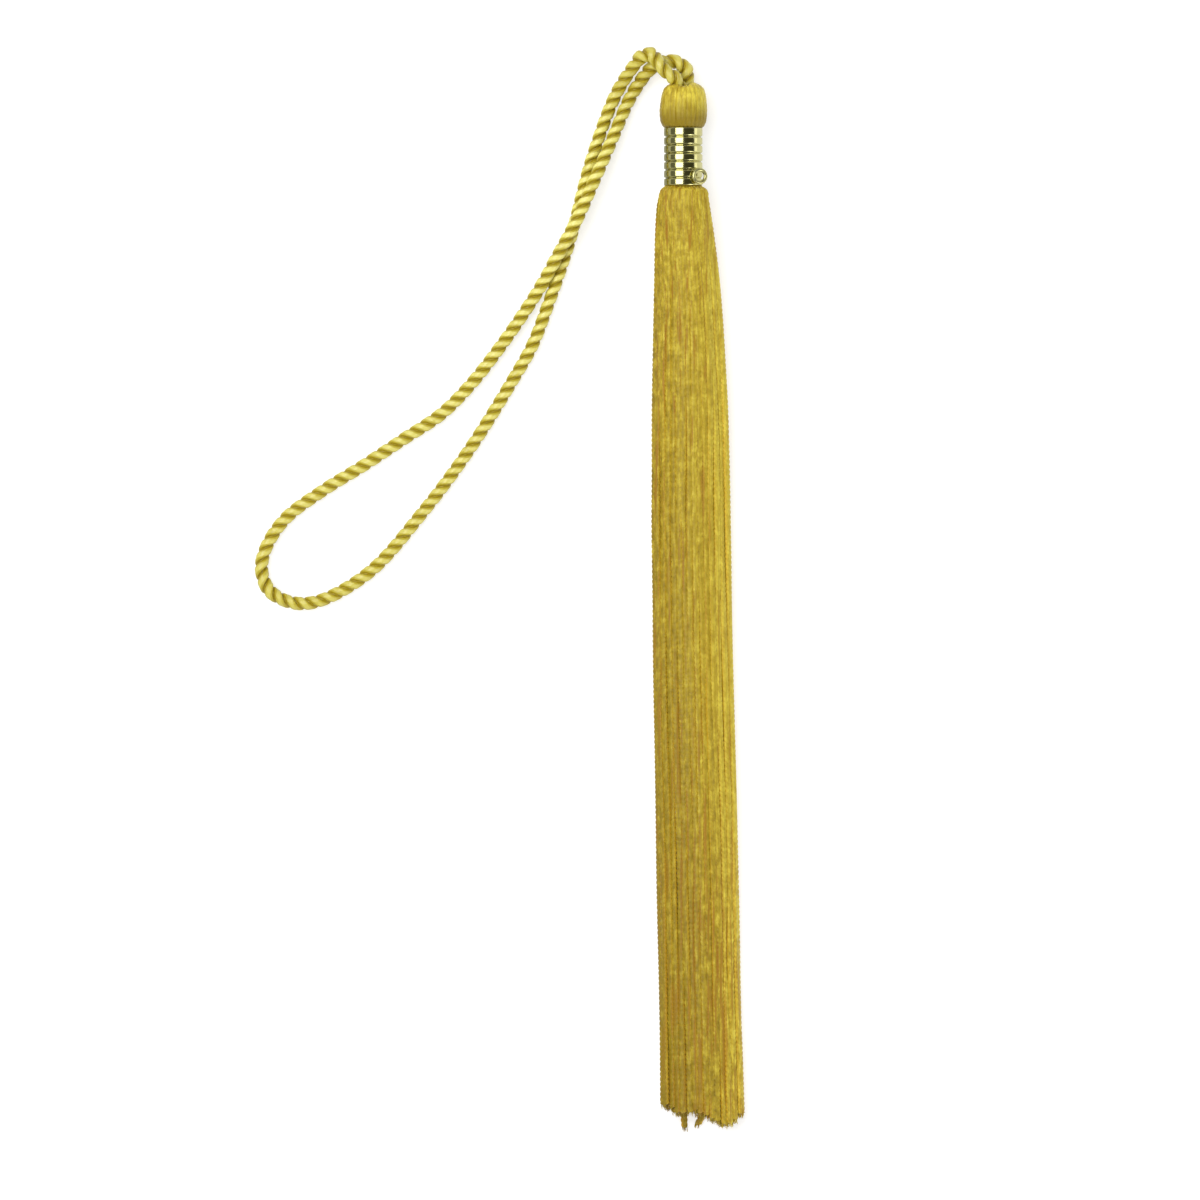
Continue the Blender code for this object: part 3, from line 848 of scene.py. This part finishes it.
# How much of the yarn's half width and depth the fibres start from.
FIBRE_REACH = 0.7
FIBRE_SPLAY = 0.25
FIBRE_ROOT = 0.7 * MM
FIBRE_STEPS = 4
FIBRE_SIDES = 3
# Loose fibres are painted lighter than the yarn that they come from, as painted light against the shade they
# cast on each other.
FIBRE_PAINTED_LIGHT = 1.2
FIBRE_TAPER = 0.6
# The yarn's material gives these values neither a stitch's gap nor a chain's seam or edge.
FIBRE_PLACE = {"across": 0.45, "row": 1.0}


def fibre(end, heading, chance):
    """One fibre, from inside the yarn's cut end outwards, as (place, fullness)."""
    sideways = chance.uniform(-FIBRE_REACH, FIBRE_REACH) * CHAIN_HALF_WIDTH
    upwards = chance.uniform(-FIBRE_REACH, FIBRE_REACH) * CHAIN_HALF_DEPTH
    length = chance.uniform(*FIBRE_LENGTH)
    splay = Vector((chance.uniform(-1, 1), 0.0, chance.uniform(-1, 0.5))) * FIBRE_SPLAY * length
    points = []
    for step in range(FIBRE_STEPS + 1):
        share = step / FIBRE_STEPS
        spot = end + Vector((sideways, 0.0, upwards)) + splay * share * share
        spot += heading * (share * (length + FIBRE_ROOT) - FIBRE_ROOT)
        spot.z = max(spot.z, FIBRE_RADIUS)
        points.append((spot, 1.0 - FIBRE_TAPER * share))
    return points


tree, given = new_tree("loose fibre", {"Radius": "Float", "Material": "Material"})
line = wired(tree, "GeometryNodeMeshToCurve", {"Mesh": given["Geometry"]}).outputs[0]
sources = {"Resolution": FIBRE_SIDES, "Radius": given["Radius"]}
section = wired(tree, "GeometryNodeCurvePrimitiveCircle", sources).outputs[0]
sources = {"Curve": line, "Profile Curve": section, "Scale": recall(tree, "width"), "Fill Caps": True}
finish_tree(tree, wired(tree, "GeometryNodeCurveToMesh", sources).outputs[0], given["Material"])

fray_chance = random.Random(23)
fibres = []
tones = []
for end, heading, shade in cut_ends:
    for index in range(FIBRES_PER_END):
        fibres.append(fibre(end, heading, fray_chance))
        tones += [shade + FIBRE_PAINTED_LIGHT] * (FIBRE_STEPS + 1)
spots = [[spot for spot, width in points] for points in fibres]
widths = [width for points in fibres for spot, width in points]
fray_values = {label: [value] * len(tones) for label, value in FIBRE_PLACE.items()}
fray_lines = lines("fray_lines", spots, width=widths, shade=tones, **fray_values)
frayed_ends = grown("frayed_ends", fray_lines, tree, Radius=FIBRE_RADIUS, Material=chain_yarn)
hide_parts("yarn_hank")
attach(frayed_ends, "root")


# Band: a turned and polished brass barrel with seven ribs. It is pushed over the folded hank, and holds the
# head and the skirt together.
BAND_CENTRE = Vector((-3.1, 98.3, 5.0)) * MM
BAND_LENGTH = 13.0 * MM
BAND_BORE = 3.15 * MM
BAND_RIBS = 7
# The top rib is taller: it has what the others leave.
RIB_HEIGHT = 1.8 * MM
BAND_SIDES = 120
# (share of a rib's height, radius), mm: a narrow groove, then a nearly flat top with rounded edges.
RIB_SECTION = [
    (0.0, 3.84),
    (0.05, 3.9),
    (0.085, 4.1),
    (0.13, 4.19),
    (0.2, 4.222),
    (0.35, 4.23),
    (0.65, 4.23),
    (0.8, 4.222),
    (0.87, 4.19),
    (0.915, 4.1),
    (0.95, 3.9),
]
BRASS = (0.56, 0.55, 0.26, 1.0)
BRASS_WORN = (0.44, 0.39, 0.15, 1.0)
BAND_ROUGHNESS = 0.09
# How often the noise for tarnish, smears and turning marks comes back in a metre.
TARNISH_GRAIN = (600.0, 900.0, 600.0)
SMEAR_GRAIN = (1500.0, 4000.0, 1500.0)
TURNING_GRAIN = (100.0, 9000.0, 100.0)
TURNING_BUMP = {"Strength": 0.12, "Distance": 0.02 * MM}


def turned(name, profile, sides, place, material):
    """A closed ring of metal: a closed profile of (radius, height) spun about its own Z axis, then placed."""
    mesh = bpy.data.meshes.new(name)
    count = len(profile)
    points = []
    for side in range(sides):
        turn = math.tau * side / sides
        points += [(radius * math.cos(turn), radius * math.sin(turn), height) for radius, height in profile]
    faces = []
    for side in range(sides):
        here = side * count
        after = (side + 1) % sides * count
        for index in range(count):
            next_index = (index + 1) % count
            faces.append((here + index, after + index, after + next_index, here + next_index))
    mesh.from_pydata(points, [], faces)
    mesh.transform(place)
    mesh.materials.append(material)
    mesh.shade_smooth()
    return added(name, mesh)


def brass(name, roughness):
    """Polished lemon brass with faint turning marks and a little tarnish."""
    made, tree, shader = new_material(name, Metallic=1.0)
    place = wired(tree, "ShaderNodeTexCoord", {}).outputs["Object"]
    tarnish = mottle(tree, place, TARNISH_GRAIN, detail=4.0)
    tree.links.new(mixed(tree, tarnish, BRASS, BRASS_WORN), shader.inputs["Base Color"])
    smears = mottle(tree, place, SMEAR_GRAIN)
    tree.links.new(maths(tree, "MULTIPLY_ADD", smears, roughness, roughness), shader.inputs["Roughness"])
    marks = mottle(tree, place, TURNING_GRAIN)
    bump = wired(tree, "ShaderNodeBump", {"Height": marks, **TURNING_BUMP})
    tree.links.new(bump.outputs[0], shader.inputs["Normal"])
    return made


band_profile = [(BAND_BORE, BAND_LENGTH / 2), (BAND_BORE, -BAND_LENGTH / 2)]
rib_foot = -BAND_LENGTH / 2
for height in [RIB_HEIGHT] * (BAND_RIBS - 1) + [BAND_LENGTH - (BAND_RIBS - 1) * RIB_HEIGHT]:
    band_profile += [(radius * MM, rib_foot + share * height) for share, radius in RIB_SECTION]
    rib_foot += height
band_profile.append((RIB_SECTION[0][1] * MM, BAND_LENGTH / 2))
upright = Euler((-math.pi / 2, 0.0, 0.0)).to_matrix().to_4x4()
band_place = Matrix.Translation(BAND_CENTRE) @ upright
band_brass = brass("polished_brass", BAND_ROUGHNESS)
band = turned("brass_band_ribs", band_profile, BAND_SIDES, band_place, band_brass)
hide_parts("brass_band")
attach(band, "root")


# Charm ring: a small closed ring of round brass wire, made to carry a charm. It lies against the band's lower
# right edge and is tilted down to the right.
RING_CENTRE = Vector((0.45, 93.9, 8.81)) * MM
RING_TILT = math.radians(25)
RING_RADIUS = 1.4 * MM
RING_WIRE = 0.42 * MM
RING_SIDES = 72
WIRE_SIDES = 24
WIRE_ROUGHNESS = 0.24

ring_profile = []
for side in range(WIRE_SIDES):
    turn = math.tau * side / WIRE_SIDES
    ring_profile.append((RING_RADIUS + RING_WIRE * math.cos(turn), RING_WIRE * math.sin(turn)))
ring_place = Matrix.Translation(RING_CENTRE) @ Euler((0.0, RING_TILT, 0.0)).to_matrix().to_4x4()
ring_brass = brass("brass_wire", WIRE_ROUGHNESS)
ring = turned("charm_ring_wire", ring_profile, RING_SIDES, ring_place, ring_brass)
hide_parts("charm_ring")
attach(ring, "root")


# Floor and light: a plain white table, which isn't part of the tassel. A large soft light stands at its upper
# left and a smaller one at its lower right, in a pale room.
FLOOR_HALF = 2.0
FLOOR_GLOW = 0.64
TABLE_GREY = (0.5, 0.5, 0.5, 1.0)
TABLE_WHITE = (1.0, 1.0, 1.0, 1.0)
# What gloss mirrors of the table's left half is dimmer, as if a grey card lay there, with its edge from the
# one x to the other.
GREY_CARD_EDGE = (-4 * MM, -9 * MM)

white_table, tree, shader = new_material(
    "white_table", Roughness=0.9, Base_Color=TABLE_GREY, Emission_Color=TABLE_WHITE
)
place = wired(tree, "ShaderNodeTexCoord", {}).outputs["Object"]
aside = wired(tree, "ShaderNodeSeparateXYZ", {0: place}).outputs["X"]
mirrored = wired(tree, "ShaderNodeLightPath", {}).outputs["Is Glossy Ray"]
dimmed = maths(tree, "MULTIPLY", ramp(tree, aside, *GREY_CARD_EDGE), mirrored)
glow = maths(tree, "MULTIPLY_ADD", dimmed, -FLOOR_GLOW, FLOOR_GLOW)
tree.links.new(glow, shader.inputs["Emission Strength"])
floor_mesh = bpy.data.meshes.new("floor")
corners = [(-1, -1), (1, -1), (1, 1), (-1, 1)]
floor_mesh.from_pydata([(x * FLOOR_HALF, y * FLOOR_HALF, 0.0) for x, y in corners], [], [(0, 1, 2, 3)])
floor_mesh.materials.append(white_table)
floor = added("floor", floor_mesh)

# The room is pale all round but for two narrow dark panels and a white one, which the brass mirrors. Angles
# are to the right of straight up.
ROOM_LIGHT = (0.26, 0.26, 0.26, 1.0)
HORIZON_LIGHT = (1.0, 1.0, 1.0, 1.0)
HORIZON_HEIGHT = 0.5
PANEL_BLACK = (0.07, 0.07, 0.045, 1.0)
PANEL_GREY = (0.2, 0.2, 0.17, 1.0)
PANEL_WHITE = (1.9, 1.9, 1.9, 1.0)
PANELS = [
    (math.radians(1), math.radians(69), PANEL_BLACK),
    (math.radians(69), math.radians(100), PANEL_WHITE),
    (math.radians(-85), math.radians(-48), PANEL_GREY),
]
PANEL_SOFT = math.radians(3)
PANEL_HALF_WIDTH = 0.3

world = bpy.data.worlds.new("studio")
bpy.context.scene.world = world
world.use_nodes = True
tree = world.node_tree
toward = wired(tree, "ShaderNodeTexCoord", {}).outputs["Generated"]
toward = wired(tree, "ShaderNodeSeparateXYZ", {0: toward})
angle = maths(tree, "ARCTAN2", toward.outputs[0], toward.outputs[2])
narrow = maths(tree, "LESS_THAN", maths(tree, "ABSOLUTE", toward.outputs[1]), PANEL_HALF_WIDTH)
tone = mixed(tree, ramp(tree, toward.outputs[2], HORIZON_HEIGHT, 0.0), ROOM_LIGHT, HORIZON_LIGHT)
for low, high, level in PANELS:
    rise = ramp(tree, angle, low, low + PANEL_SOFT)
    fall = ramp(tree, angle, high, high - PANEL_SOFT)
    inside = maths(tree, "MULTIPLY", maths(tree, "MULTIPLY", rise, fall), narrow)
    tone = mixed(tree, inside, tone, level)
tree.links.new(tone, tree.nodes["Background"].inputs["Color"])

# Each light's width and height, power and place. The softbox has its long sides along the tassel.
SOFTBOX_SIZE = (0.82, 0.9)
SOFTBOX_POWER = 9.9
SOFTBOX_PLACE = (-0.43, 0.25, 0.92)
SOFTBOX_TURN = (math.radians(-14), math.radians(-25), 0.0)
REFLECTOR_SIZE = (0.6, 0.6)
REFLECTOR_POWER = 4.5
REFLECTOR_PLACE = (0.75, -0.65, 0.6)


def soft_light(name, size, power, place):
    """A rectangle of even light."""
    light = bpy.data.lights.new(name, "AREA")
    light.shape = "RECTANGLE"
    light.size, light.size_y = size
    light.energy = power
    lamp = added(name, light)
    lamp.location = place
    return lamp


softbox = soft_light("softbox", SOFTBOX_SIZE, SOFTBOX_POWER, SOFTBOX_PLACE)
softbox.rotation_euler = SOFTBOX_TURN
reflector = soft_light("reflector", REFLECTOR_SIZE, REFLECTOR_POWER, REFLECTOR_PLACE)
reflector.rotation_euler = (-reflector.location).to_track_quat("-Z", "Y").to_euler()
